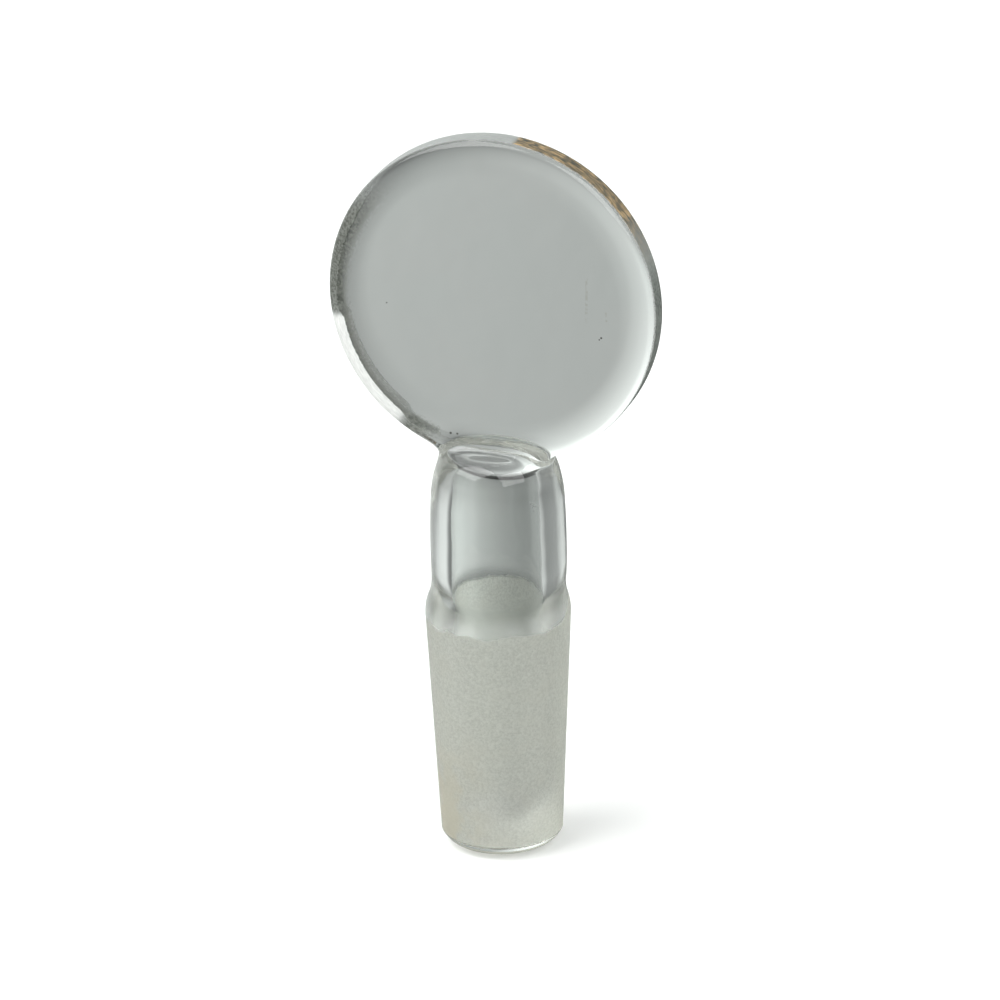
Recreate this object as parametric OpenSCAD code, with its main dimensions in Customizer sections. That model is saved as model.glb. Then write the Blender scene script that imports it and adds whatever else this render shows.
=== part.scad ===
// Hollow ground-glass stopper with a flat round handle standing on edge.
// Millimetres. +Z runs up the stopper's axis from the flat closed end, which is z = 0.
// The handle's flat faces look along -Y and +Y.

/* [Ground joint] */
// Diameter at the wide upper end of the ground cone
joint_d = 14.5; // [12:0.1:18]
// Length of the ground cone along the axis
joint_len = 23; // [16:0.5:30]
// Growth in diameter for each millimetre of length
joint_taper = 0.1; // [0.06:0.01:0.12]

/* [Closed end] */
// Height of the unground, fire-polished end below the cone
end_h = 1.4; // [0.6:0.1:1.8]
// Radius that rounds the closed end
end_round = 2.4; // [1.8:0.1:3]

/* [Shoulder and groove] */
// Radius of the rounded shoulder above the ground cone, seen from the side
shoulder_round = 5.2; // [3:0.1:7]
// Step in from the cone's wide radius to the neck's largest radius
shoulder_step = 0.48; // [0.2:0.02:1]
// Depth of the groove below the neck's largest radius
groove_depth = 0.08; // [0.04:0.01:0.3]
// Radius of the groove, seen from the side
groove_round = 4.7; // [3:0.1:7]

/* [Neck] */
// Height of the neck from the bottom of the groove to where it turns in
neck_h = 9; // [6:0.5:14]
// Radius of the barrel's long curve, seen from the side
barrel_round = 95; // [60:5:140]
// Radius of the neck's inward turn below the dome
turn_round = 13; // [10:0.5:18]
// Height of the inward turn
turn_h = 3.4; // [2:0.1:4]
// Radius that rounds the dome's edge
dome_round = 2.6; // [1.6:0.1:3.4]

/* [Handle] */
// Diameter of the round handle
handle_d = 33.6; // [24:0.2:44]
// Thickness at the middle of the handle
handle_t = 4.2; // [3.6:0.1:5.2]
// Radius that rounds both edges of the handle's rim
handle_round = 0.95; // [0.5:0.05:1.2]
// Radius of the roll that thins each face towards the rim
roll_round = 11; // [6:0.5:18]
// Slope in degrees where each roll meets the rounding of the rim
roll_slope = 15; // [8:1:20]
// Depth to which the handle is melted into the dome
handle_sink = 1.25; // [0.8:0.05:2.4]
// Radius of the melted fillet between handle and dome
melt_round = 1.6; // [0.8:0.1:2.2]

/* [Sealed bore] */
// Glass around the bore at the neck's largest radius
neck_wall = 2.3; // [1.8:0.1:3]
// Glass left between the bore and the flat closed end
floor_t = 2.6; // [1.6:0.1:5]
// Glass left between the bore's flat ceiling and the top of the dome
ceiling_t = 1.5; // [1.2:0.1:3]
// Radius of the corner between the bore's wall and its ceiling
ceiling_round = 0.15; // [0.1:0.05:0.8]
// Height below the ceiling over which the bore's wall draws in
draw_h = 2.2; // [0.5:0.1:3]
// Radius of the wall where it draws in, seen from the side
draw_round = 14; // [8:1:30]

/* [Hidden] */
$fn = 128;

// Straight pieces in each drawn arc
arc_steps = 12;

// Degrees left out at the start of an arc, so that its first point isn't the last arc's end
groove_skip = 2;
turn_skip = 2;
dome_skip = 5;
roll_skip = 1;
corner_skip = 5;
floor_skip = 5;

// Ground cone: both end radii, its half angle and its ends' heights
wide_r = joint_d / 2;
narrow_r = wide_r - joint_len * joint_taper / 2;
cone_angle = atan(joint_taper / 2);
cone_top_z = end_h + joint_len;

// Closed end: where its rounding meets the cone, and the flat that is left
end_angle = asin(end_h / end_round - 1);
base_r = narrow_r - end_round * cos(end_angle);

// Neck: its largest radius and the radius at the bottom of the groove
neck_r = wide_r - shoulder_step;
groove_bottom_r = neck_r - groove_depth;

// Shoulder and groove: the slope that they share, and their centres
shoulder_drop = wide_r - groove_bottom_r;
shared_cos = (shoulder_round * cos(cone_angle) + groove_round - shoulder_drop)
    / (shoulder_round + groove_round);
shared_angle = acos(shared_cos);
shoulder_r = wide_r - shoulder_round * cos(cone_angle);
shoulder_z = cone_top_z + shoulder_round * sin(cone_angle);
groove_r = groove_bottom_r + groove_round;
groove_z = shoulder_z + (shoulder_round + groove_round) * sin(shared_angle);

// Barrel: the slope that it shares with the groove, and its centre
swell_angle = acos(1 - groove_depth / (groove_round + barrel_round));
barrel_r = neck_r - barrel_round;
barrel_z = groove_z + (groove_round + barrel_round) * sin(swell_angle);
neck_top_z = groove_z + neck_h;
barrel_angle = asin((neck_top_z - barrel_z) / barrel_round);

// Inward turn and dome, each starting at the slope where the last arc ended
turn_r = barrel_r + (barrel_round - turn_round) * cos(barrel_angle);
turn_z = barrel_z + (barrel_round - turn_round) * sin(barrel_angle);
turn_angle = asin((neck_top_z + turn_h - turn_z) / turn_round);
dome_r = turn_r + (turn_round - dome_round) * cos(turn_angle);
dome_z = turn_z + (turn_round - dome_round) * sin(turn_angle);
dome_top_z = dome_z + dome_round;

// Handle: its centre sits on the axis, with its lowest point inside the dome
handle_r = handle_d / 2;
handle_z = dome_top_z - handle_sink + handle_r;

// Handle's section: how far each roll thins it, and half the straight part of its rim
roll_drop = roll_round * (1 - cos(roll_slope));
rim_half = handle_t / 2 - roll_drop - handle_round * cos(roll_slope);
edge_r = handle_r - handle_round;
roll_start_r = edge_r + (handle_round - roll_round) * sin(roll_slope);

// Melted fillet: a taller dome that leaves the neck at the same slope limits it
melt_share = 0.6;
melt_dome_round = dome_round + melt_round * melt_share;
melt_dome_r = turn_r + (turn_round - melt_dome_round) * cos(turn_angle);
melt_dome_z = turn_z + (turn_round - melt_dome_round) * sin(turn_angle);

// Bore: a straight tube with a half-round floor, drawn in a little below its flat ceiling
bore_r = neck_r - neck_wall;
draw_angle = asin(draw_h / draw_round);
draw_in = draw_round * (1 - cos(draw_angle));
corner_r = bore_r - draw_in - ceiling_round * cos(draw_angle);
corner_z = dome_top_z - ceiling_t - ceiling_round;
draw_z = corner_z + ceiling_round * sin(draw_angle) - draw_h;

// Points along an arc about [r, z], from angle "from" to angle "to"
function arc(r, z, round, from, to) = [
    for (i = [0:arc_steps])
        let (angle = from + (to - from) * i / arc_steps)
        [r + round * cos(angle), z + round * sin(angle)]
];

// Outside of the turned body, from the axis at the closed end to the axis at the dome
function body_outline() = concat(
    [[0, 0]],
    arc(base_r, end_round, end_round, -90, end_angle),
    [[wide_r, cone_top_z]],
    arc(shoulder_r, shoulder_z, shoulder_round, 0, shared_angle),
    arc(groove_r, groove_z, groove_round, 180 + shared_angle - groove_skip, 180 - swell_angle),
    arc(barrel_r, barrel_z, barrel_round, 0, barrel_angle),
    arc(turn_r, turn_z, turn_round, barrel_angle + turn_skip, turn_angle),
    arc(dome_r, dome_z, dome_round, turn_angle + dome_skip, 90),
    [[0, dome_top_z]]
);

// Closed end, ground cone, shoulder, groove, neck and dome
module body() {
    rotate_extrude() polygon(body_outline());
}

// Half of the handle's section on one side, from the rim's rounding to the middle of the face
function face_outline() = concat(
    arc(edge_r, rim_half, handle_round, 0, 90 - roll_slope),
    arc(roll_start_r, handle_t / 2 - roll_round, roll_round, 90 - roll_slope + roll_skip, 90),
    [[0, handle_t / 2]]
);

// Round handle standing on edge: flat in the middle, rolled thinner towards a rounded rim
module handle() {
    front = face_outline();
    back = [for (i = [len(front) - 1:-1:0]) [front[i][0], -front[i][1]]];
    translate([0, 0, handle_z])
        rotate([90, 0, 0])
            rotate_extrude() polygon(concat(back, front));
}

// Solid under the taller dome that the melted glass may fill
module melt_limit() {
    outline = concat(
        [[0, dome_z]],
        [[melt_dome_r + melt_dome_round * cos(turn_angle), dome_z]],
        arc(melt_dome_r, melt_dome_z, melt_dome_round, turn_angle, 90),
        [[0, melt_dome_z + melt_dome_round]]
    );
    rotate_extrude() polygon(outline);
}

// Bar along X whose two sides curve from the dome's top up to the handle's faces
module melt_bar() {
    foot = handle_t / 2 - roll_drop + melt_round;
    outline = concat(
        [[-foot, dome_z], [foot, dome_z]],
        arc(foot, dome_top_z + melt_round, melt_round, 270, 180),
        arc(-foot, dome_top_z + melt_round, melt_round, 0, -90)
    );
    rotate([90, 0, 90])
        linear_extrude(height = joint_d, center = true) polygon(outline);
}

// Glass that melted into the corner between the handle and the dome
module melt() {
    intersection() {
        melt_limit();
        melt_bar();
    }
}

// Sealed hollow: half-round floor, straight wall that draws in at the top, flat ceiling
module bore() {
    outline = concat(
        [[0, floor_t]],
        arc(0, floor_t + bore_r, bore_r, -90 + floor_skip, 0),
        arc(bore_r - draw_round, draw_z, draw_round, 0, draw_angle),
        arc(corner_r, corner_z, ceiling_round, draw_angle + corner_skip, 90),
        [[0, corner_z + ceiling_round]]
    );
    rotate_extrude() polygon(outline);
}

// The whole stopper, fused from one piece of glass
module stopper() {
    color([0.78, 0.82, 0.8, 0.5])
        difference() {
            union() {
                body();
                handle();
                melt();
            }
            bore();
        }
}

stopper();
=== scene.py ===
import math

import bpy
from mathutils import Matrix, Vector


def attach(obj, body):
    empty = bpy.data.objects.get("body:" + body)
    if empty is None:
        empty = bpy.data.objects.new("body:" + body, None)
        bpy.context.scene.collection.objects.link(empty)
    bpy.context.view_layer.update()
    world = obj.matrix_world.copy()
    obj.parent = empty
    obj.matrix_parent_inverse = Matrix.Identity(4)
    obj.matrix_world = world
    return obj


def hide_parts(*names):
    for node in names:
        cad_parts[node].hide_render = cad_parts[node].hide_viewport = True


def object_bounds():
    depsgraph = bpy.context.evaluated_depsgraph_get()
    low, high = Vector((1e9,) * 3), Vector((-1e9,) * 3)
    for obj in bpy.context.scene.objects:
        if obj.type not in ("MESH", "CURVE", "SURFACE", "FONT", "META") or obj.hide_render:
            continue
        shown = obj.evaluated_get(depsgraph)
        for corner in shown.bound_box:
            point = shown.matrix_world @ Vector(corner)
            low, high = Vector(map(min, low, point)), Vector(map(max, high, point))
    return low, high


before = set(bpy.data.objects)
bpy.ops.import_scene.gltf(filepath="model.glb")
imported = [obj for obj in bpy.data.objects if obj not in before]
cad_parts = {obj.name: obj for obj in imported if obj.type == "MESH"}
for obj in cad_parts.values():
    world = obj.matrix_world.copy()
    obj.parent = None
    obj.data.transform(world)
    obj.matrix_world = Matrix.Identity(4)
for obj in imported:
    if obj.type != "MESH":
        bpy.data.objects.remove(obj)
cad_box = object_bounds()

# ---------------------------------------------------------------- sizes, in millimetres
MM = 0.001

# Ground cone and closed end
WIDE_R = 7.25
CONE_H = 23.0
NARROW_R = 6.1
END_H = 1.4
END_ROUND = 2.4
# Height of the narrow rows on both sides of the edge between end and cone, which keep it crisp,
# and how much the lower one widens for each millimetre
KINK = 0.04
KINK_SLOPE = 0.2

# Shoulder and groove
SHOULDER_ROUND = 5.2
SHOULDER_STEP = 0.48
GROOVE_DEPTH = 0.08
GROOVE_ROUND = 4.7

# Barrel neck, its inward turn and its dome
NECK_H = 9.0
BARREL_ROUND = 95.0
TURN_ROUND = 13.0
TURN_H = 3.4
DOME_ROUND = 2.6

# Handle
HANDLE_R = 16.8
HANDLE_T = 4.2
HANDLE_ROUND = 0.95
ROLL_ROUND = 11.0
ROLL_SLOPE = 15.0
HANDLE_SHIFT = 0.14
NECK_SHIFT = 0.18
MELT = 1.6
MELT_SLANT = 0.02

# Sealed bore
NECK_WALL = 2.3
FLOOR_T = 2.6
CEILING_T = 1.5
CEILING_ROUND = 0.15
DRAW_H = 2.2
DRAW_ROUND = 14.0
CEILING_TILT = 0.12

# Columns of faces around each turned shape
BODY_COLUMNS = 256
HANDLE_COLUMNS = 384
BORE_COLUMNS = 160

# Points closer than this, in metres, become one
MERGE_WITHIN = 1e-6

# How often the skin is moved onto the melted shape, and how often it is smoothed there
MELT_PASSES = 6
FLOW_PASSES = 14

# Least and most that the melt shrinks or grows towards the sides, as shares of MELT
MELT_LEAST = 0.35
MELT_MOST = 1.6

# Smallest square of a slope that a pass divides by
LEAST_STEEPNESS = 0.2

# Heights from the dome's top between which the smoothing fades in from below and from above
FLOW_FROM = (-2.2, -1.4)
FLOW_TO = (2.6, 1.6)

# Heights where the neck leans aside, from the cone's top, and the handle, from the dome's top
NECK_LEAN = (1.0, 5.0)
HANDLE_LEAN = (-3.0, 2.0)

# Height below the neck's top where the bore begins to follow its tilted ceiling
TILT_DROP = 4.0

# Ground glass: its height above the cone, and how far out from the bore's wall the outside begins
GROUND_RISE = 2.8
OUTSIDE_GAP = 0.5

# Rim glass: its depth in from the rim, how much deeper it is left of a place on X, and how far
# below the dome's top it begins
RIM_DEPTH = 1.9
LEFT_RIM_EXTRA = 2.0
LEFT_RIM_X = -5.0
RIM_BELOW_DOME = 0.6


# ---------------------------------------------------------------- outlines
def sin_deg(angle):
    """The sine of an angle in degrees."""
    return math.sin(math.radians(angle))


def cos_deg(angle):
    """The cosine of an angle in degrees."""
    return math.cos(math.radians(angle))


def arc(r, z, radius, start, end, steps):
    """Points along an arc about (r, z), with its angles in degrees."""
    points = []
    for i in range(steps + 1):
        angle = start + (end - start) * i / steps
        points.append((r + radius * cos_deg(angle), z + radius * sin_deg(angle)))
    return points


def line(start, end, steps):
    """Points along a straight stretch, without its first point."""
    points = []
    for i in range(1, steps + 1):
        share = i / steps
        points.append((start[0] + (end[0] - start[0]) * share, start[1] + (end[1] - start[1]) * share))
    return points


# Slopes shared by neighbouring arcs, and the arcs' centres
cone_top = END_H + CONE_H
cone_angle = math.degrees(math.atan((WIDE_R - NARROW_R) / CONE_H))
end_angle = math.degrees(math.asin(END_H / END_ROUND - 1))
base_r = NARROW_R - END_ROUND * cos_deg(end_angle)
neck_r = WIDE_R - SHOULDER_STEP
groove_bottom_r = neck_r - GROOVE_DEPTH
shared_cos = (SHOULDER_ROUND * cos_deg(cone_angle) + GROOVE_ROUND - WIDE_R + groove_bottom_r) / (
    SHOULDER_ROUND + GROOVE_ROUND
)
shared_angle = math.degrees(math.acos(shared_cos))
shoulder_r = WIDE_R - SHOULDER_ROUND * cos_deg(cone_angle)
shoulder_z = cone_top + SHOULDER_ROUND * sin_deg(cone_angle)
groove_r = groove_bottom_r + GROOVE_ROUND
groove_z = shoulder_z + (SHOULDER_ROUND + GROOVE_ROUND) * sin_deg(shared_angle)
swell_angle = math.degrees(math.acos(1 - GROOVE_DEPTH / (GROOVE_ROUND + BARREL_ROUND)))
barrel_r = neck_r - BARREL_ROUND
barrel_z = groove_z + (GROOVE_ROUND + BARREL_ROUND) * sin_deg(swell_angle)
neck_top = groove_z + NECK_H
barrel_angle = math.degrees(math.asin((neck_top - barrel_z) / BARREL_ROUND))
turn_r = barrel_r + (BARREL_ROUND - TURN_ROUND) * cos_deg(barrel_angle)
turn_z = barrel_z + (BARREL_ROUND - TURN_ROUND) * sin_deg(barrel_angle)
turn_angle = math.degrees(math.asin((neck_top + TURN_H - turn_z) / TURN_ROUND))
dome_r = turn_r + (TURN_ROUND - DOME_ROUND) * cos_deg(turn_angle)
dome_z = turn_z + (TURN_ROUND - DOME_ROUND) * sin_deg(turn_angle)
dome_top = dome_z + DOME_ROUND
bore_r = neck_r - NECK_WALL
draw_angle = math.degrees(math.asin(DRAW_H / DRAW_ROUND))
corner_r = bore_r - DRAW_ROUND * (1 - cos_deg(draw_angle)) - CEILING_ROUND * cos_deg(draw_angle)
corner_z = dome_top - CEILING_T - CEILING_ROUND
draw_z = corner_z + CEILING_ROUND * sin_deg(draw_angle) - DRAW_H
handle_z = cad_box[1][2] / MM - HANDLE_R


def body_outline():
    """Outside of the turned body, from the middle of the closed end to the top of the dome."""
    points = [(0, 0)]
    points += line((0, 0), (base_r, 0), 6)[:-1]
    points += arc(base_r, END_ROUND, END_ROUND, -90, end_angle, 14)[:-1]
    points += [(NARROW_R - KINK * KINK_SLOPE, END_H - KINK)]
    points += [(NARROW_R, END_H)]
    points += [(NARROW_R, END_H + KINK)]
    points += line((NARROW_R, END_H + KINK), (WIDE_R, cone_top), 24)
    points += arc(shoulder_r, shoulder_z, SHOULDER_ROUND, -cone_angle, shared_angle, 14)[1:]
    points += arc(groove_r, groove_z, GROOVE_ROUND, 180 + shared_angle, 180 - swell_angle, 14)[1:]
    points += arc(barrel_r, barrel_z, BARREL_ROUND, -swell_angle, barrel_angle, 20)[1:]
    points += arc(turn_r, turn_z, TURN_ROUND, barrel_angle, turn_angle, 18)[1:]
    points += arc(dome_r, dome_z, DOME_ROUND, turn_angle, 90, 20)[1:]
    points += line((dome_r, dome_top), (0, dome_top), 14)
    return points


def handle_outline():
    """Half section of the handle about its own axis, from the middle of one face to the other's."""
    half_t = HANDLE_T / 2
    edge_r = HANDLE_R - HANDLE_ROUND
    roll_drop = ROLL_ROUND * (1 - cos_deg(ROLL_SLOPE))
    rim_z = half_t - roll_drop - HANDLE_ROUND * cos_deg(ROLL_SLOPE)
    roll_start = edge_r + (HANDLE_ROUND - ROLL_ROUND) * sin_deg(ROLL_SLOPE)
    face = [(0, half_t)]
    face += line((0, half_t), (roll_start, half_t), 16)
    face += arc(roll_start, half_t - ROLL_ROUND, ROLL_ROUND, 90, 90 - ROLL_SLOPE, 18)[1:]
    face += arc(edge_r, rim_z, HANDLE_ROUND, 90 - ROLL_SLOPE, 0, 14)[1:]
    other = [(r, -z) for r, z in face]
    return other + line((HANDLE_R, -rim_z), (HANDLE_R, rim_z), 5)[:-1] + face[::-1]


def bore_outline():
    """Section of the sealed bore, from its floor to the middle of its ceiling."""
    points = arc(0, FLOOR_T + bore_r, bore_r, -90, 0, 24)
    points += line((bore_r, FLOOR_T + bore_r), (bore_r, draw_z), 24)
    points += arc(bore_r - DRAW_ROUND, draw_z, DRAW_ROUND, 0, draw_angle, 12)[1:]
    points += arc(corner_r, corner_z, CEILING_ROUND, draw_angle, 90, 10)[1:]
    points += line((corner_r, corner_z + CEILING_ROUND), (0, corner_z + CEILING_ROUND), 12)
    return points


# ---------------------------------------------------------------- short calls for nodes
def place(tree, kind, **settings):
    """A new node with its settings."""
    new = tree.nodes.new(kind)
    for name, value in settings.items():
        setattr(new, name, value)
    return new


def feed(tree, socket, value):
    """Links an output into a socket, or sets the socket to a plain value."""
    if isinstance(value, bpy.types.NodeSocket):
        tree.links.new(value, socket)
    else:
        socket.default_value = value


def calc(tree, operation, *values, clamp=False):
    """A sum on numbers."""
    new = place(tree, "ShaderNodeMath", operation=operation, use_clamp=clamp)
    for socket, value in zip(new.inputs, values):
        feed(tree, socket, value)
    return new.outputs[0]


def vector(tree, operation, *values):
    """A sum on vectors. A dot product or a length gives a number."""
    new = place(tree, "ShaderNodeVectorMath", operation=operation)
    for socket, value in zip(new.inputs, values):
        feed(tree, socket, value)
    gives_number = operation in ("DOT_PRODUCT", "LENGTH", "DISTANCE")
    return new.outputs["Value" if gives_number else "Vector"]


def scaled(tree, direction, length):
    """A vector times a number."""
    new = place(tree, "ShaderNodeVectorMath", operation="SCALE")
    feed(tree, new.inputs[0], direction)
    feed(tree, new.inputs["Scale"], length)
    return new.outputs["Vector"]


def parts_of(tree, coords):
    """The X, Y and Z of a vector."""
    new = place(tree, "ShaderNodeSeparateXYZ")
    feed(tree, new.inputs[0], coords)
    return new.outputs


def combined(tree, x, y, z):
    """A vector from three numbers."""
    new = place(tree, "ShaderNodeCombineXYZ")
    for socket, value in zip(new.inputs, (x, y, z)):
        feed(tree, socket, value)
    return new.outputs[0]


def step(tree, value, low, high, low_gives=0.0, high_gives=1.0):
    """Goes smoothly from one number where the value is low to another where it is high."""
    new = place(tree, "ShaderNodeMapRange", interpolation_type="SMOOTHSTEP")
    feed(tree, new.inputs["Value"], value)
    feed(tree, new.inputs["From Min"], low)
    feed(tree, new.inputs["From Max"], high)
    feed(tree, new.inputs["To Min"], low_gives)
    feed(tree, new.inputs["To Max"], high_gives)
    return new.outputs["Result"]


def both(tree, *shares):
    """The product of several numbers, such as shares that all have to hold."""
    total = shares[0]
    for share in shares[1:]:
        total = calc(tree, "MULTIPLY", total, share)
    return total


def any_of(tree, shares):
    """The strongest of several shares."""
    total = shares[0]
    for share in shares[1:]:
        total = calc(tree, "MAXIMUM", total, share)
    return total


def hypotenuse(tree, a, b):
    """The long side of a right triangle."""
    return calc(tree, "SQRT", calc(tree, "ADD", both(tree, a, a), both(tree, b, b)))


def position(tree):
    """Where the skin is, in a geometry tree."""
    return place(tree, "GeometryNodeInputPosition").outputs[0]


def moved(tree, skin, offset, selection=True):
    """A skin with its points moved."""
    new = place(tree, "GeometryNodeSetPosition")
    feed(tree, new.inputs["Geometry"], skin)
    feed(tree, new.inputs["Selection"], selection)
    feed(tree, new.inputs["Offset"], offset)
    return new.outputs[0]


def painted(tree, skin, material, selection=True):
    """A skin with a material on all of it, or on the selected faces."""
    new = place(tree, "GeometryNodeSetMaterial")
    feed(tree, new.inputs["Geometry"], skin)
    feed(tree, new.inputs["Selection"], selection)
    feed(tree, new.inputs["Material"], material)
    return new.outputs[0]


def new_tree(name, inputs):
    """A Geometry Nodes tree with named inputs. Returns the tree, its input node and its output socket."""
    tree = bpy.data.node_groups.new(name, "GeometryNodeTree")
    tree.interface.new_socket("Geometry", in_out="INPUT", socket_type="NodeSocketGeometry")
    for label, kind in inputs:
        tree.interface.new_socket(label, in_out="INPUT", socket_type=kind)
    tree.interface.new_socket("Geometry", in_out="OUTPUT", socket_type="NodeSocketGeometry")
    start = place(tree, "NodeGroupInput")
    end = place(tree, "NodeGroupOutput")
    return tree, start, end.inputs[0]


def run_tree(piece, tree, values):
    """Runs a tree on a piece, with its inputs set by their identifiers, and returns the plain mesh."""
    modifier = piece.modifiers.new(tree.name, "NODES")
    modifier.node_group = tree
    for item in tree.interface.items_tree:
        if item.item_type == "SOCKET" and item.in_out == "INPUT" and item.name in values:
            modifier[item.identifier] = values[item.name]
    bpy.context.view_layer.update()
    evaluated = piece.evaluated_get(bpy.context.evaluated_depsgraph_get())
    mesh = bpy.data.meshes.new_from_object(evaluated)
    piece.modifiers.clear()
    return mesh


def add_object(name, data):
    """A new object in the scene, from a mesh, a lamp or a camera."""
    piece = bpy.data.objects.new(name, data)
    bpy.context.scene.collection.objects.link(piece)
    return piece


# ---------------------------------------------------------------- turned shapes
def turning_tree():
    """Turns an outline in X and Z about the Z axis into a closed skin."""
    tree, start, end = new_tree("Turn", [
        ("Columns", "NodeSocketInt"),
        ("Inside out", "NodeSocketBool"),
        ("Lift", "NodeSocketVector"),
        ("Tip", "NodeSocketVector"),
        ("Glass", "NodeSocketMaterial"),
    ])
    outline = start.outputs["Geometry"]
    columns = start.outputs["Columns"]
    size = place(tree, "GeometryNodeAttributeDomainSize", component="MESH")
    feed(tree, size.inputs[0], outline)
    rows = size.outputs["Point Count"]
    grid = place(tree, "GeometryNodeMeshGrid")
    feed(tree, grid.inputs["Vertices X"], calc(tree, "ADD", columns, 1))
    feed(tree, grid.inputs["Vertices Y"], rows)
    index = place(tree, "GeometryNodeInputIndex").outputs[0]
    column = calc(tree, "FLOOR", calc(tree, "DIVIDE", calc(tree, "ADD", index, 0.5), rows))
    row = calc(tree, "SUBTRACT", index, calc(tree, "MULTIPLY", column, rows))
    point = place(tree, "GeometryNodeSampleIndex", data_type="FLOAT_VECTOR", domain="POINT")
    feed(tree, point.inputs["Geometry"], outline)
    feed(tree, point.inputs["Value"], position(tree))
    feed(tree, point.inputs["Index"], row)
    out, _, up = parts_of(tree, point.outputs[0])
    angle = both(tree, calc(tree, "DIVIDE", column, columns), math.tau)
    x = both(tree, out, calc(tree, "COSINE", angle))
    y = both(tree, out, calc(tree, "SINE", angle))
    wrapped = place(tree, "GeometryNodeSetPosition")
    feed(tree, wrapped.inputs["Geometry"], grid.outputs["Mesh"])
    feed(tree, wrapped.inputs["Position"], combined(tree, x, y, up))
    closed = place(tree, "GeometryNodeMergeByDistance")
    feed(tree, closed.inputs["Geometry"], wrapped.outputs[0])
    feed(tree, closed.inputs["Distance"], MERGE_WITHIN)
    facing = place(tree, "GeometryNodeFlipFaces")
    feed(tree, facing.inputs["Mesh"], closed.outputs[0])
    feed(tree, facing.inputs["Selection"], start.outputs["Inside out"])
    stood = place(tree, "GeometryNodeTransform")
    feed(tree, stood.inputs["Geometry"], facing.outputs[0])
    feed(tree, stood.inputs["Translation"], start.outputs["Lift"])
    feed(tree, stood.inputs["Rotation"], start.outputs["Tip"])
    smooth = place(tree, "GeometryNodeSetShadeSmooth")
    feed(tree, smooth.inputs["Geometry"], stood.outputs[0])
    real = place(tree, "GeometryNodeRealizeInstances")
    feed(tree, real.inputs[0], smooth.outputs[0])
    tree.links.new(painted(tree, real.outputs[0], start.outputs["Glass"]), end)
    return tree


def turned(name, outline, tree, glass, columns, inside_out=False, lift=(0, 0, 0), tip=(0, 0, 0)):
    """A turned shape from its outline, as an object of its own."""
    mesh = bpy.data.meshes.new(name + "_outline")
    corners = [(r * MM, 0, z * MM) for r, z in outline]
    mesh.from_pydata(corners, [(i, i + 1) for i in range(len(corners) - 1)], [])
    piece = add_object(name, mesh)
    piece.data = run_tree(piece, tree, {
        "Columns": columns,
        "Inside out": inside_out,
        "Lift": lift,
        "Tip": tip,
        "Glass": glass,
    })
    return piece


# ---------------------------------------------------------------- melting the shapes together
def nearest(tree, skin, here):
    """Distance from a place to another skin along that skin's normal, and that normal."""
    found = []
    for value in ("GeometryNodeInputPosition", "GeometryNodeInputNormal"):
        sample = place(tree, "GeometryNodeSampleNearestSurface", data_type="FLOAT_VECTOR")
        feed(tree, sample.inputs["Mesh"], skin)
        feed(tree, sample.inputs["Value"], place(tree, value).outputs[0])
        feed(tree, sample.inputs["Sample Position"], here)
        found.append(sample.outputs["Value"])
    normal = vector(tree, "NORMALIZE", found[1])
    distance = vector(tree, "DOT_PRODUCT", vector(tree, "SUBTRACT", here, found[0]), normal)
    return distance, normal


def melted(tree, start, body, handle):
    """Body and handle as one skin, with the corner between them filled by a smooth fillet."""
    union = place(tree, "GeometryNodeMeshBoolean", operation="UNION", solver="EXACT")
    tree.links.new(body, union.inputs["Mesh 2"])
    tree.links.new(handle, union.inputs["Mesh 2"])

    # Each pass moves the skin onto the smooth union of the two distances
    pass_in = place(tree, "GeometryNodeRepeatInput")
    pass_out = place(tree, "GeometryNodeRepeatOutput")
    pass_in.pair_with_output(pass_out)
    pass_in.inputs["Iterations"].default_value = MELT_PASSES
    tree.links.new(union.outputs["Mesh"], pass_in.inputs["Geometry"])
    here = position(tree)
    slant = both(tree, parts_of(tree, here)[0], calc(tree, "DIVIDE", start.outputs["Melt slant"], MM))
    thinning = calc(tree, "MAXIMUM", calc(tree, "SUBTRACT", 1.0, slant), MELT_LEAST)
    melt = both(tree, start.outputs["Melt"], calc(tree, "MINIMUM", thinning, MELT_MOST))
    a, a_normal = nearest(tree, body, here)
    b, b_normal = nearest(tree, handle, here)
    gap = calc(tree, "ABSOLUTE", calc(tree, "SUBTRACT", a, b))
    share = calc(tree, "DIVIDE", calc(tree, "MAXIMUM", calc(tree, "SUBTRACT", melt, gap), 0.0), melt)
    fill = both(tree, share, share, calc(tree, "DIVIDE", melt, 4.0))
    miss = calc(tree, "SUBTRACT", calc(tree, "MINIMUM", a, b), fill)
    a_is_near = calc(tree, "LESS_THAN", a, b)
    a_share = calc(tree, "ADD", both(tree, a_is_near, calc(tree, "SUBTRACT", 1.0, share)),
                   both(tree, share, 0.5))
    b_share = calc(tree, "SUBTRACT", 1.0, a_share)
    slope = vector(tree, "ADD", scaled(tree, a_normal, a_share), scaled(tree, b_normal, b_share))
    steep = calc(tree, "MAXIMUM", vector(tree, "DOT_PRODUCT", slope, slope), LEAST_STEEPNESS)
    shift = scaled(tree, slope, calc(tree, "DIVIDE", both(tree, miss, -1.0), steep))
    in_melt = calc(tree, "GREATER_THAN", share, 0.0)
    tree.links.new(moved(tree, pass_in.outputs["Geometry"], shift, in_melt), pass_out.inputs["Geometry"])
    return pass_out.outputs["Geometry"]


def height_step(tree, height, level, rises):
    """Goes smoothly from 0 to 1 between two heights, measured from a level in millimetres."""
    first, last = rises
    return step(tree, height, (level + first) * MM, (level + last) * MM)


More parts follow.
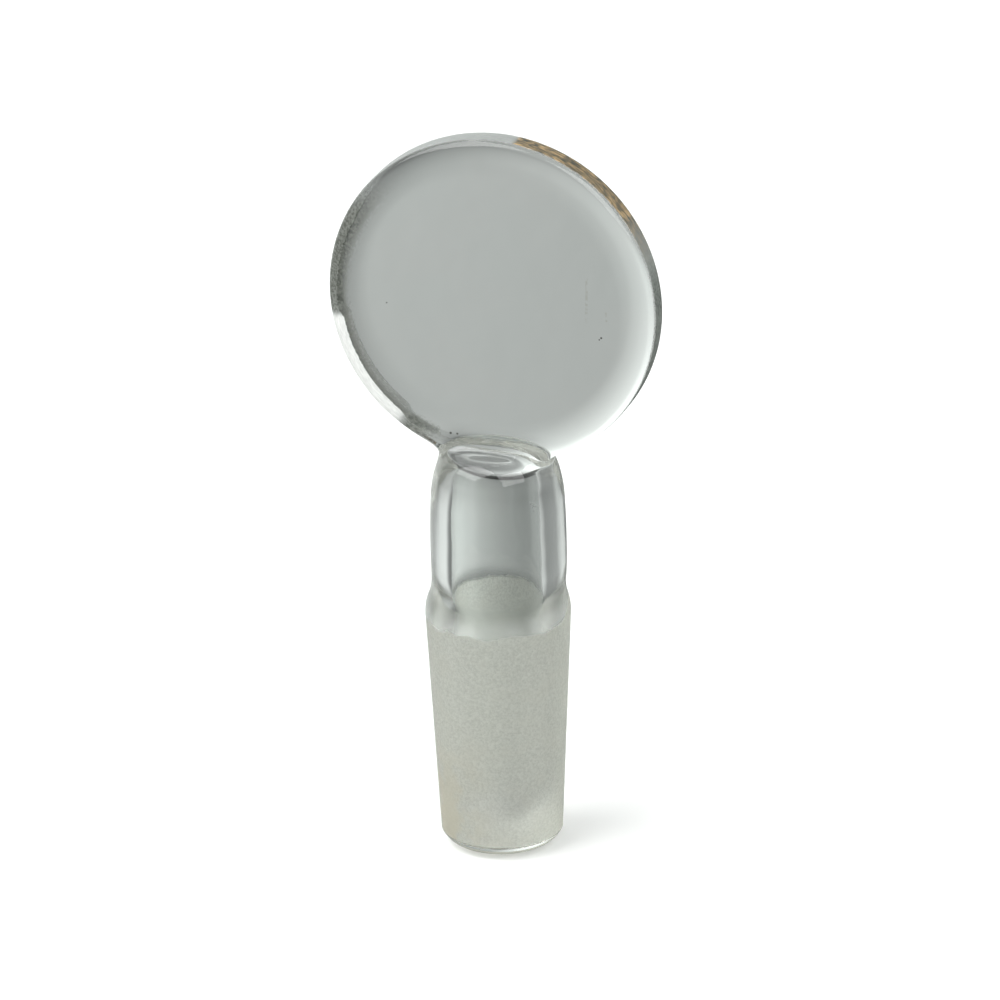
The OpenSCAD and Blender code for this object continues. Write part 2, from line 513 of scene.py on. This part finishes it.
def flowed(tree, skin):
    """The melted corner smoothed, as molten glass is."""
    height = parts_of(tree, position(tree))[2]
    from_below = height_step(tree, height, dome_top, FLOW_FROM)
    from_above = height_step(tree, height, dome_top, FLOW_TO)
    flowing = place(tree, "GeometryNodeBlurAttribute", data_type="FLOAT_VECTOR")
    feed(tree, flowing.inputs["Value"], position(tree))
    flowing.inputs["Iterations"].default_value = FLOW_PASSES
    feed(tree, flowing.inputs["Weight"], both(tree, from_below, from_above))
    smoothed = place(tree, "GeometryNodeSetPosition")
    feed(tree, smoothed.inputs["Geometry"], skin)
    feed(tree, smoothed.inputs["Position"], flowing.outputs[0])
    return smoothed.outputs[0]


def leaning(tree, start, skin):
    """The neck and the handle a little off the cone's axis, as they were fused by hand."""
    height = parts_of(tree, position(tree))[2]
    neck_share = height_step(tree, height, cone_top, NECK_LEAN)
    handle_share = height_step(tree, height, dome_top, HANDLE_LEAN)
    aside = calc(tree, "ADD", both(tree, neck_share, start.outputs["Neck shift"]),
                 both(tree, handle_share, start.outputs["Handle shift"]))
    return moved(tree, skin, combined(tree, aside, 0.0, 0.0))


def tilted(tree, start, bore):
    """The sealed bore with its ceiling tilted a little."""
    x, _, height = parts_of(tree, position(tree))
    near_ceiling = step(tree, height, (neck_top - TILT_DROP) * MM, (dome_top - CEILING_T) * MM)
    drop = both(tree, x, start.outputs["Ceiling tilt"], near_ceiling, -1.0)
    return moved(tree, bore, combined(tree, 0.0, 0.0, drop))


def on_ground_cone(tree, start):
    """Selects the outside faces from the edge above the closed end to the top of the shoulder."""
    x, y, height = parts_of(tree, position(tree))
    above = calc(tree, "GREATER_THAN", height, start.outputs["Cone bottom"])
    below = calc(tree, "LESS_THAN", height, start.outputs["Cone top"])
    outside = calc(tree, "GREATER_THAN", hypotenuse(tree, x, y), (bore_r + OUTSIDE_GAP) * MM)
    return both(tree, above, below, outside)


def on_handle_rim(tree, start):
    """Selects the faces near the handle's largest radius, reaching further in on the left."""
    x, _, height = parts_of(tree, position(tree))
    out = hypotenuse(tree, x, calc(tree, "SUBTRACT", height, start.outputs["Handle height"]))
    on_left = calc(tree, "LESS_THAN", x, LEFT_RIM_X * MM)
    rim_start = calc(tree, "SUBTRACT", start.outputs["Rim radius"], both(tree, on_left, LEFT_RIM_EXTRA * MM))
    return both(tree, calc(tree, "GREATER_THAN", out, rim_start),
                calc(tree, "GREATER_THAN", height, (dome_top - RIM_BELOW_DOME) * MM))


def melting_tree():
    """Melts body and handle together, adds the bore's own skin inside, and lays on the three finishes."""
    tree, start, end = new_tree("Melt together", [
        ("Handle", "NodeSocketObject"),
        ("Bore", "NodeSocketObject"),
        ("Melt", "NodeSocketFloat"),
        ("Melt slant", "NodeSocketFloat"),
        ("Neck shift", "NodeSocketFloat"),
        ("Handle shift", "NodeSocketFloat"),
        ("Ceiling tilt", "NodeSocketFloat"),
        ("Cone bottom", "NodeSocketFloat"),
        ("Cone top", "NodeSocketFloat"),
        ("Rim radius", "NodeSocketFloat"),
        ("Handle height", "NodeSocketFloat"),
        ("Clear", "NodeSocketMaterial"),
        ("Ground", "NodeSocketMaterial"),
        ("Rim", "NodeSocketMaterial"),
    ])
    skins = {}
    for label in ("Handle", "Bore"):
        info = place(tree, "GeometryNodeObjectInfo")
        feed(tree, info.inputs[0], start.outputs[label])
        skins[label] = info.outputs["Geometry"]
    outside = melted(tree, start, start.outputs["Geometry"], skins["Handle"])
    outside = leaning(tree, start, flowed(tree, outside))
    joined = place(tree, "GeometryNodeJoinGeometry")
    tree.links.new(outside, joined.inputs[0])
    tree.links.new(tilted(tree, start, skins["Bore"]), joined.inputs[0])
    smooth = place(tree, "GeometryNodeSetShadeSmooth")
    feed(tree, smooth.inputs["Geometry"], joined.outputs[0])
    real = place(tree, "GeometryNodeRealizeInstances")
    feed(tree, real.inputs[0], smooth.outputs[0])
    glass = painted(tree, real.outputs[0], start.outputs["Clear"])
    glass = painted(tree, glass, start.outputs["Ground"], on_ground_cone(tree, start))
    glass = painted(tree, glass, start.outputs["Rim"], on_handle_rim(tree, start))
    tree.links.new(glass, end)
    return tree


# ---------------------------------------------------------------- materials
GLASS_IOR = 1.47

# Colours of the clear glass and of the marks on it, and of the painted shade line at the corner of the
# bore's ceiling
GREENISH = (0.955, 0.978, 0.966, 1)
COLOURLESS = (0.968, 0.982, 0.970, 1)
BROWN_SCRATCH = (0.62, 0.58, 0.47, 1)
BLACK_SPECK = (0.05, 0.045, 0.04, 1)
# Painted shade: black for the line at the corner of the bore's ceiling
CREASE_SHADE_BLACK = (0.02, 0.02, 0.018, 1)

# Colours of the ground cone, its grain and its stains, and of the shoulder above it
FROST_DARK = (0.60, 0.61, 0.56, 1)
FROST_PALE = (0.83, 0.84, 0.785, 1)
FROST_LINE = (0.77, 0.78, 0.73, 1)
FROST_CLOUD = (0.77, 0.76, 0.69, 1)
FROST_STAIN = (0.74, 0.68, 0.53, 1)
SHOULDER_CLEAR = (0.93, 0.955, 0.94, 1)
SHOULDER_HAZY = (0.84, 0.865, 0.845, 1)

# Colours of the rim: rough glass, amber streaks on grey, speckled painted shade on the left, painted shade
# on the right, the crescent's painted light low on the left with a grey outline, and the painted shade on
# the face beside the left part of the rim
ROUGH_DARK = (0.62, 0.65, 0.64, 1)
ROUGH_PALE = (0.80, 0.83, 0.82, 1)
STREAK_GREY = (0.05, 0.055, 0.045, 1)
STREAK_AMBER = (0.62, 0.42, 0.20, 1)
# Painted shade on the left part of the rim, speckled like the rough glass
SPECKLED_SHADE_DARK = (0.16, 0.17, 0.145, 1)
SPECKLED_SHADE_PALE = (0.46, 0.48, 0.44, 1)
SHADE_DARK = (0.06, 0.07, 0.06, 1)
SHADE_PALE = (0.20, 0.22, 0.20, 1)
# Painted light: the streaked bright white of the crescent low on the left of the rim
CRESCENT_LIGHT_DARK = (0.66, 0.67, 0.65, 1)
CRESCENT_LIGHT_PALE = (0.82, 0.83, 0.81, 1)
OUTLINE_GREY = (0.42, 0.44, 0.42, 1)
# Painted shade: the dark grey band on the front face beside the left part of the rim
FACE_SHADE_DARK = (0.04, 0.045, 0.03, 1)
FACE_SHADE_PALE = (0.34, 0.355, 0.30, 1)

# Stretches of the rim, in degrees: where each one fades in and where it fades out
AMBER_STRETCH = ((8, 38), (81.5, 79.5))
# Painted light: the bright crescent low on the left
LIT_CRESCENT_STRETCH = ((187, 191), (238, 232))
LEFT_STRETCH = ((118, 152), (266, 258))
# Painted shade: on the left, and low on the left
SHADED_LEFT_STRETCH = ((132, 150), (191, 187))
SHADED_LOW_STRETCH = ((232, 238), (266, 262))
# Painted shade: on the right
SHADED_RIGHT_STRETCH = ((-48, -34), (40, 12))

# Share of the light that passes through the ground cone, and its roughness
GROUND_CLEARNESS = 0.78
GROUND_ROUGHNESS = 0.95
SHOULDER_ROUGHNESS = 0.11

# How white each stretch of the rim is: the share of light that doesn't pass through
RIM_MILK = 0.28
# On the crescent low on the left, the whiteness is part of its painted light
LIT_CRESCENT_MILK = 0.85
AMBER_MILK = 0.72
# On the right stretch and on the face beside the left part of the rim, the whiteness is part of their
# painted shade
SHADED_RIGHT_MILK = 0.7
FACE_SHADE_MILK = 0.12


def new_material(name):
    """A new material, its tree and its shader."""
    made = bpy.data.materials.new(name)
    made.use_nodes = True
    tree = made.node_tree
    return made, tree, tree.nodes["Principled BSDF"]


def object_mm(tree):
    """The object's own coordinates, in millimetres."""
    return scaled(tree, place(tree, "ShaderNodeTexCoord").outputs["Object"], 1 / MM)


def noise(tree, coords, per_mm, detail=2.0, roughness=0.5):
    """Soft noise from 0 to 1, with so many blotches to the millimetre."""
    new = place(tree, "ShaderNodeTexNoise")
    feed(tree, new.inputs["Vector"], coords)
    feed(tree, new.inputs["Scale"], per_mm)
    feed(tree, new.inputs["Detail"], detail)
    feed(tree, new.inputs["Roughness"], roughness)
    return new.outputs[0]


def mixed(tree, kind, share, first, second):
    """A colour between two colours (RGBA), or a number between two numbers (FLOAT)."""
    new = place(tree, "ShaderNodeMix", data_type=kind)
    feed(tree, new.inputs["Factor"], share)
    feed(tree, new.inputs["A"], first)
    feed(tree, new.inputs["B"], second)
    return new.outputs["Result"]


def blend(tree, share, first, second):
    """A colour between two colours."""
    return mixed(tree, "RGBA", share, first, second)


def near_line(tree, coords, start, end, width):
    """1 on a straight stretch between two places, falling to 0 at a distance of one width."""
    along = tuple(b - a for a, b in zip(start, end))
    length = sum(a * a for a in along)
    offset = vector(tree, "SUBTRACT", coords, start)
    share = calc(tree, "DIVIDE", vector(tree, "DOT_PRODUCT", offset, along), length, clamp=True)
    miss = vector(tree, "LENGTH", vector(tree, "SUBTRACT", offset, scaled(tree, along, share)))
    return step(tree, miss, width * 0.4, width, 1.0, 0.0)


def near_lines(tree, coords, lines):
    """1 on any of several straight stretches, broken up as a scratch is."""
    broken = step(tree, noise(tree, coords, 3.0, 3.0), 0.42, 0.6)
    return both(tree, any_of(tree, [near_line(tree, coords, *mark) for mark in lines]), broken)


def stretch(tree, turn, fades):
    """1 along one stretch of the rim, fading at both of its ends."""
    fade_in, fade_out = fades
    return both(tree, step(tree, turn, *fade_in), step(tree, turn, *fade_out))


def rippled(tree, shader, height, strength, depth):
    """Gives a shader a bump from a height, with its depth in millimetres."""
    bump = place(tree, "ShaderNodeBump")
    feed(tree, bump.inputs["Strength"], strength)
    feed(tree, bump.inputs["Distance"], depth * MM)
    feed(tree, bump.inputs["Height"], height)
    feed(tree, shader.inputs["Normal"], bump.outputs[0])


def handle_angle(tree, coords):
    """Angle around the handle's own axis, in degrees: 0 at +X, 90 at the top."""
    x, _, z = parts_of(tree, coords)
    turn = calc(tree, "ARCTAN2", calc(tree, "SUBTRACT", z, handle_z), x)
    return both(tree, turn, 180 / math.pi)


# Dark specks on the handle's front: place and radius, in millimetres
SPECKS = (
    ((11.8, -2.08, 55.4), 0.15),
    ((11.6, -2.08, 55.2), 0.11),
    ((-3.9, -2.03, 43.9), 0.17),
    ((-3.2, -2.03, 43.9), 0.15),
    ((-10.2, -2.08, 57.0), 0.10),
)

# Faint brownish scratches on the handle's front: both ends and a width, in millimetres
HANDLE_SCRATCHES = (
    ((10.4, -2.1, 61.4), (10.3, -2.1, 57.0), 0.18),
    ((12.3, -2.1, 58.0), (12.4, -2.1, 56.9), 0.14),
    ((11.2, -2.1, 62.9), (11.3, -2.1, 62.1), 0.11),
)

# Pale scratches on the neck: both ends and a width, in millimetres
NECK_SCRATCHES = (
    ((4.7, -4.76, 38.9), (5.3, -4.08, 37.7), 0.09),
    ((5.3, -4.08, 37.9), (5.0, -4.45, 36.6), 0.08),
    ((4.2, -5.20, 34.6), (4.6, -4.86, 35.3), 0.08),
    ((5.6, -3.66, 36.2), (5.8, -3.33, 36.7), 0.07),
    ((5.9, -3.20, 31.0), (6.3, -2.30, 31.9), 0.09),
    ((6.0, -3.00, 30.2), (6.4, -2.00, 31.0), 0.08),
)


def plain_glass(tree, here):
    """Colour, smudged roughness and gentle waves of lamp-worked glass, faintly green."""
    cloud = noise(tree, here, 0.12, 3.0)
    tint = blend(tree, step(tree, cloud, 0.35, 0.65), GREENISH, COLOURLESS)
    smudge = step(tree, noise(tree, here, 0.3, 4.0, 0.6), 0.5, 0.75, 0.0, 0.03)
    wave = noise(tree, here, 0.16, 2.0)
    return tint, smudge, wave


def specked(tree, here):
    """1 on the handle's specks, and less on fine dust that lies in patches."""
    specks = []
    for spot, radius in SPECKS:
        specks.append(step(tree, vector(tree, "DISTANCE", here, spot), radius * 0.5, radius, 1.0, 0.0))
    dust = place(tree, "ShaderNodeTexVoronoi")
    feed(tree, dust.inputs["Vector"], here)
    feed(tree, dust.inputs["Scale"], 0.55)
    dusty = step(tree, noise(tree, here, 0.21, 1.0), 0.5, 0.6)
    specks.append(both(tree, step(tree, dust.outputs["Distance"], 0.02, 0.035, 0.45, 0.0), dusty))
    return any_of(tree, specks)


def crease_shade(tree, here):
    """Painted shade: 1 on the front of the sharp corner around the bore's tilted ceiling, a dark line
    standing in for the shade the glass shows there, fainter towards the back.
    """
    x, y, z = parts_of(tree, here)
    corner_height = calc(tree, "SUBTRACT", corner_z, both(tree, x, CEILING_TILT))
    off_r = calc(tree, "SUBTRACT", hypotenuse(tree, x, y), corner_r + CEILING_ROUND)
    off_z = calc(tree, "SUBTRACT", z, corner_height)
    in_r = step(tree, calc(tree, "ABSOLUTE", off_r), 0.06, 0.2, 1.0, 0.0)
    in_z = step(tree, calc(tree, "ABSOLUTE", off_z), 0.09, 0.2, 1.0, 0.0)
    return both(tree, in_r, in_z, step(tree, y, 1.5, -0.5, 0.2, 1.0))


def clear_glass():
    """Clear glass of the neck and the handle's faces, with specks, scratches and a painted shade line at the
    corner of the bore's ceiling.
    """
    made, tree, shader = new_material("clear_glass")
    here = object_mm(tree)
    glass, smudge, wave = plain_glass(tree, here)
    shader.inputs["Transmission Weight"].default_value = 1.0
    shader.inputs["IOR"].default_value = GLASS_IOR
    scratch = near_lines(tree, here, HANDLE_SCRATCHES)
    pale_scratch = near_lines(tree, here, NECK_SCRATCHES)
    scratched = blend(tree, both(tree, scratch, 0.5), glass, BROWN_SCRATCH)
    spotted = blend(tree, specked(tree, here), scratched, BLACK_SPECK)
    # The corner of the bore's ceiling gets a painted shade line
    feed(tree, shader.inputs["Base Color"], blend(tree, crease_shade(tree, here), spotted, CREASE_SHADE_BLACK))
    feed(tree, shader.inputs["Roughness"], calc(tree, "ADD", smudge, both(tree, pale_scratch, 0.6)))
    rippled(tree, shader, wave, 1.0, 0.04)
    return made


def ground_glass():
    """Ground joint: even grey frost with a fine grain and a few stains, thinning out up the shoulder."""
    made, tree, shader = new_material("ground_glass")
    here = object_mm(tree)
    x, y, z = parts_of(tree, here)
    shader.inputs["IOR"].default_value = GLASS_IOR

    # Grain, lines left by the turning, clouds, and a yellowish stain low on the left
    grain = noise(tree, here, 3.6, 4.0, 0.8)
    cloud = noise(tree, here, 0.35, 3.0)
    flat = combined(tree, both(tree, x, 0.6), both(tree, y, 0.6), both(tree, z, 9.0))
    turning = noise(tree, flat, 1.0, 2.0)
    pale = blend(tree, step(tree, grain, 0.35, 0.65), FROST_DARK, FROST_PALE)
    lined = blend(tree, step(tree, turning, 0.4, 0.62, 0.0, 0.25), pale, FROST_LINE)
    clouded = blend(tree, step(tree, cloud, 0.45, 0.7, 0.0, 0.3), lined, FROST_CLOUD)
    low_left = both(tree, step(tree, z, 14.0, 3.0), step(tree, x, 2.0, -4.0), step(tree, cloud, 0.38, 0.58))
    stained = blend(tree, both(tree, low_left, 0.6), clouded, FROST_STAIN)

    # The frost ends at a ragged edge, higher at the back, with hazy glass up to the shoulder's top
    behind = both(tree, step(tree, y, -3.0, 2.0), 1.9)
    wander = both(tree, calc(tree, "SUBTRACT", noise(tree, here, 0.4, 3.0, 0.5), 0.5), 1.4)
    edge = calc(tree, "ADD", calc(tree, "SUBTRACT", z, behind), wander)
    frost = step(tree, edge, cone_top - 0.45, cone_top + 0.25, GROUND_ROUGHNESS, SHOULDER_ROUGHNESS)
    top = step(tree, z, cone_top + 1.6, cone_top + GROUND_RISE, GROUND_ROUGHNESS, 0.0)
    haze = calc(tree, "MINIMUM", frost, top)
    feed(tree, shader.inputs["Roughness"], haze)
    cleared = step(tree, haze, 0.6, 0.15)
    shoulder = blend(tree, step(tree, z, cone_top + 2.6, cone_top + 0.8), SHOULDER_CLEAR, SHOULDER_HAZY)
    feed(tree, shader.inputs["Base Color"], blend(tree, cleared, stained, shoulder))
    patch = step(tree, noise(tree, here, 0.28, 3.0, 0.55), 0.4, 0.6, 0.77, 0.88)
    thin_frost = step(tree, z, cone_top + 2.6, cone_top + 0.6, 1.0, patch)
    clearness = mixed(tree, "FLOAT", cleared, GROUND_CLEARNESS, thin_frost)
    feed(tree, shader.inputs["Transmission Weight"], clearness)
    rippled(tree, shader, grain, 0.5, 0.03)
    return made


def rim_glass():
    """The handle's rim: rough and mottled, with amber streaks, painted shade on the left and on the right,
    and painted light on a crescent low on the left.
    """
    made, tree, shader = new_material("rim_glass")
    here = object_mm(tree)
    glass, smudge, wave = plain_glass(tree, here)
    shader.inputs["IOR"].default_value = GLASS_IOR
    x, y, z = parts_of(tree, here)
    turn = handle_angle(tree, here)
    whole_turn = calc(tree, "MODULO", calc(tree, "ADD", turn, 360.0), 360.0)
    out = hypotenuse(tree, x, calc(tree, "SUBTRACT", z, handle_z))
    around = combined(tree, both(tree, turn, 0.3), both(tree, y, 2.2), both(tree, out, 2.2))
    mottle = noise(tree, around, 1.4, 5.0, 0.7)
    fine = noise(tree, here, 4.0, 3.0, 0.6)
    drawn_out = combined(tree, both(tree, turn, 0.33), both(tree, y, 9.0), both(tree, out, 9.0))
    streak = noise(tree, drawn_out, 1.0, 4.0, 0.6)
    off = calc(tree, "SUBTRACT", fine, 0.5)

    # Where around the rim each stretch lies: painted shade on the right, on the left and low on the left,
    # and painted light on the crescent low on the left
    amber = stretch(tree, turn, AMBER_STRETCH)
    shaded_right = stretch(tree, turn, SHADED_RIGHT_STRETCH)
    lit_crescent = stretch(tree, whole_turn, LIT_CRESCENT_STRETCH)
    left = stretch(tree, whole_turn, LEFT_STRETCH)
    shaded_left = stretch(tree, whole_turn, SHADED_LEFT_STRETCH)
    shaded_low = stretch(tree, whole_turn, SHADED_LOW_STRETCH)

    # Rough only on the rim itself, fading out into the clear faces and into the melted glass
    ragged = calc(tree, "ADD", out, both(tree, off, 0.2))
    reach_in = calc(tree, "ADD", both(tree, left, 1.0), both(tree, lit_crescent, 0.45))
    inner_r = calc(tree, "SUBTRACT", HANDLE_R - 0.4, reach_in)
    left_edge = both(tree, left, step(tree, calc(tree, "SUBTRACT", ragged, inner_r), -0.06, 0.1))
    level_y = calc(tree, "ADD", calc(tree, "ABSOLUTE", y), both(tree, off, 0.3))
    flat_rim = both(tree, step(tree, level_y, 1.3, 1.0), step(tree, out, HANDLE_R - 0.8, HANDLE_R - 0.3))
    above_melt = step(tree, z, dome_top + 0.4, dome_top + 2.0)
    rough = both(tree, any_of(tree, [left_edge, flat_rim]), above_melt)

    # Painted shade: a dark grey band on the front face beside the left part of the rim, where the face
    # darkens into the rim
    face_shade_reach = step(tree, calc(tree, "ADD", out, both(tree, off, 1.6)), HANDLE_R - 3.0, HANDLE_R - 2.0)
    face_shade = both(tree, left, face_shade_reach, step(tree, y, 0.0, -0.5), above_melt)

    # Colours of the stretches, each laid over the last
    pale = blend(tree, step(tree, mottle, 0.35, 0.65), ROUGH_DARK, ROUGH_PALE)
    streaked = blend(tree, step(tree, streak, 0.47, 0.60), STREAK_GREY, STREAK_AMBER)
    golden = blend(tree, amber, pale, streaked)
    # Painted shade on the left stretches, speckled like the rough glass
    speckled_shade = blend(tree, step(tree, fine, 0.4, 0.6), SPECKLED_SHADE_DARK, SPECKLED_SHADE_PALE)
    left_shaded = blend(tree, any_of(tree, [shaded_left, shaded_low]), golden, speckled_shade)
    # Painted shade on the right stretch
    shaded = blend(tree, step(tree, fine, 0.35, 0.65), SHADE_DARK, SHADE_PALE)
    shade_share = calc(tree, "MINIMUM", shaded_right, calc(tree, "SUBTRACT", 1.0, amber))
    darker = blend(tree, shade_share, left_shaded, shaded)
    # Painted light on the crescent low on the left, with a grey outline at the rim's edge
    crescent_light = blend(tree, step(tree, streak, 0.35, 0.65), CRESCENT_LIGHT_DARK, CRESCENT_LIGHT_PALE)
    outline = step(tree, out, HANDLE_R - 0.35, HANDLE_R - 0.08)
    with_crescent_light = blend(tree, lit_crescent, darker, blend(tree, outline, crescent_light, OUTLINE_GREY))
    # Painted shade on the face beside the left part of the rim
    face_shade_colour = blend(tree, step(tree, fine, 0.38, 0.62), FACE_SHADE_DARK, FACE_SHADE_PALE)
    face_shaded = blend(tree, both(tree, face_shade, 0.85), glass, face_shade_colour)
    feed(tree, shader.inputs["Base Color"], blend(tree, rough, face_shaded, with_crescent_light))

    # Roughness, whiteness and bump
    uneven = both(tree, rough, step(tree, mottle, 0.3, 0.7, 0.3, 0.55))
    feed(tree, shader.inputs["Roughness"], any_of(tree, [smudge, uneven, both(tree, face_shade, 0.2)]))
    # The whiteness is part of the painted light on the crescent and of the painted shade on the right and
    # beside the left part of the rim
    milk = any_of(tree, [
        RIM_MILK,
        both(tree, lit_crescent, LIT_CRESCENT_MILK),
        both(tree, amber, AMBER_MILK),
        both(tree, shaded_right, SHADED_RIGHT_MILK),
    ])
    milky = any_of(tree, [both(tree, rough, milk), both(tree, face_shade, FACE_SHADE_MILK)])
    feed(tree, shader.inputs["Transmission Weight"], calc(tree, "SUBTRACT", 1.0, milky))
    rippled(tree, shader, calc(tree, "ADD", wave, both(tree, rough, mottle)), 1.0, 0.04)
    return made


# ---------------------------------------------------------------- the stopper
def make_stopper():
    """The whole stopper: outside and sealed bore in one piece of glass."""
    clear = clear_glass()
    turn = turning_tree()
    body = turned("body_skin", body_outline(), turn, clear, BODY_COLUMNS)
    handle = turned("handle_skin", handle_outline(), turn, clear, HANDLE_COLUMNS,
                    lift=(0, 0, handle_z * MM), tip=(-math.pi / 2, 0, 0))
    bore = turned("bore_skin", bore_outline(), turn, clear, BORE_COLUMNS, inside_out=True)
    piece = add_object("stopper_glass", body.data.copy())
    piece.data = run_tree(piece, melting_tree(), {
        "Handle": handle,
        "Bore": bore,
        "Melt": MELT * MM,
        "Melt slant": MELT_SLANT,
        "Neck shift": NECK_SHIFT * MM,
        "Handle shift": HANDLE_SHIFT * MM,
        "Ceiling tilt": CEILING_TILT,
        "Cone bottom": (END_H + KINK / 2) * MM,
        "Cone top": (cone_top + GROUND_RISE) * MM,
        "Rim radius": (HANDLE_R - RIM_DEPTH) * MM,
        "Handle height": handle_z * MM,
        "Clear": clear,
        "Ground": ground_glass(),
        "Rim": rim_glass(),
    })
    for helper in (body, handle, bore):
        bpy.data.objects.remove(helper)
    if piece.data.materials[0] is None:
        piece.data.materials.pop(index=0)
    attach(piece, "root")
    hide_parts("stopper")
    return piece


# ---------------------------------------------------------------- floor, light and camera
# Floor: half its side and how far it lies below the stopper's end, in metres
FLOOR_REACH = 3.0
FLOOR_GAP = 0.0002
PAPER_WHITE = (0.96, 0.96, 0.96, 1)

# The room around the stopper: towards its left and towards the camera's side
LEFT = (-0.95, -0.31, 0.0)
TOWARDS_ROOM = (0.31, -0.95, 0.0)
ROOM_COLOUR = (0.96, 1.0, 0.975, 1)
DIM_LEVEL = 0.27
BRIGHT_LEFT = 0.58
DARK_STRIP = 0.65
BRIGHT_STRIP = 0.3
HORIZON_SHARE = 1.65
BELOW_SHARE = 0.6
OVERHEAD_SHARE = 0.35
ROOM_SHARE = 0.22

# Each lamp's name, place and size in metres, and its power in watts
LAMPS = (
    ("key", (-0.5, -0.4, 0.9), 0.95, 11),
    ("fill", (0.7, -0.6, 0.8), 0.9, 9),
)
LAMP_AIM = (0, 0, 0.04)

# Camera: turn, lift and roll in degrees, distance and aim in millimetres
CAMERA_TURN = 18.16
CAMERA_LIFT = 21.63
CAMERA_ROLL = 1.12
CAMERA_DISTANCE = 784.0
CAMERA_AIM = (0.373, 0.123, 36.4)
LENS = 285.2
SENSOR = 36

# Light that runs around inside the glass needs many turns to find its way out
LIGHT_TURNS = 40


def lay_floor():
    """Plain pale floor that the glass neither shows nor reflects."""
    mesh = bpy.data.meshes.new("floor")
    side = FLOOR_REACH
    corners = [(-side, -side, 0), (side, -side, 0), (side, side, 0), (-side, side, 0)]
    mesh.from_pydata(corners, [], [(0, 1, 2, 3)])
    floor = add_object("floor", mesh)
    floor.location.z = -FLOOR_GAP
    floor.visible_transmission = False
    floor.visible_glossy = False
    paper, tree, shader = new_material("pale_paper")
    shader.inputs["Base Color"].default_value = PAPER_WHITE
    shader.inputs["Roughness"].default_value = 1.0
    mesh.materials.append(paper)


def build_studio():
    """Soft room light: bright on the left, dim on the right, with a dark and a bright strip far out."""
    world = bpy.data.worlds.new("studio")
    bpy.context.scene.world = world
    world.use_nodes = True
    tree = world.node_tree
    tree.nodes.clear()
    look = vector(tree, "NORMALIZE", place(tree, "ShaderNodeTexCoord").outputs["Generated"])
    left = vector(tree, "DOT_PRODUCT", look, LEFT)
    right = both(tree, left, -1.0)
    room = vector(tree, "DOT_PRODUCT", look, TOWARDS_ROOM)
    height = parts_of(tree, look)[2]
    level = calc(tree, "ADD", DIM_LEVEL, step(tree, left, -0.25, 0.42, 0.0, BRIGHT_LEFT))
    level = calc(tree, "SUBTRACT", level, step(tree, left, 0.66, 0.82, 0.0, DARK_STRIP))
    level = calc(tree, "ADD", level, step(tree, right, 0.72, 0.86, 0.0, BRIGHT_STRIP))
    strength = both(
        tree,
        level,
        step(tree, height, -0.42, 0.02, 1.0, HORIZON_SHARE),
        step(tree, height, -0.62, -0.40, BELOW_SHARE, 1.0),
        step(tree, height, 0.72, 0.88, 1.0, OVERHEAD_SHARE),
        step(tree, room, 0.5, 0.8, 1.0, ROOM_SHARE),
    )
    back = place(tree, "ShaderNodeBackground")
    feed(tree, back.inputs["Strength"], strength)
    feed(tree, back.inputs["Color"], ROOM_COLOUR)
    feed(tree, place(tree, "ShaderNodeOutputWorld").inputs["Surface"], back.outputs[0])


def hang_lamps():
    """Two large soft lamps, which aren't seen through the glass."""
    for name, spot, size, power in LAMPS:
        lamp = bpy.data.lights.new(name, "AREA")
        lamp.size = size
        lamp.energy = power
        hung = add_object(name, lamp)
        hung.location = spot
        hung.visible_transmission = False
        hung.rotation_euler = (Vector(LAMP_AIM) - Vector(spot)).to_track_quat("-Z", "Y").to_euler()


def set_camera():
    """Long lens, from the front and a little to the right and above."""
    made = bpy.data.cameras.new("camera")
    made.lens = LENS
    made.sensor_width = SENSOR
    camera = add_object("camera", made)
    level = cos_deg(CAMERA_LIFT)
    away = Vector((sin_deg(CAMERA_TURN) * level, -cos_deg(CAMERA_TURN) * level, sin_deg(CAMERA_LIFT)))
    camera.location = (Vector(CAMERA_AIM) + away * CAMERA_DISTANCE) * MM
    facing = (-away).to_track_quat("-Z", "Y").to_matrix()
    roll = Matrix.Rotation(math.radians(-CAMERA_ROLL), 3, "Z")
    camera.rotation_euler = (facing @ roll).to_euler()
    bpy.context.scene.camera = camera


make_stopper()
lay_floor()
build_studio()
hang_lamps()
set_camera()
bpy.context.scene.view_settings.view_transform = "Standard"
light_paths = bpy.context.scene.cycles
light_paths.max_bounces = LIGHT_TURNS
light_paths.glossy_bounces = LIGHT_TURNS
light_paths.transmission_bounces = LIGHT_TURNS
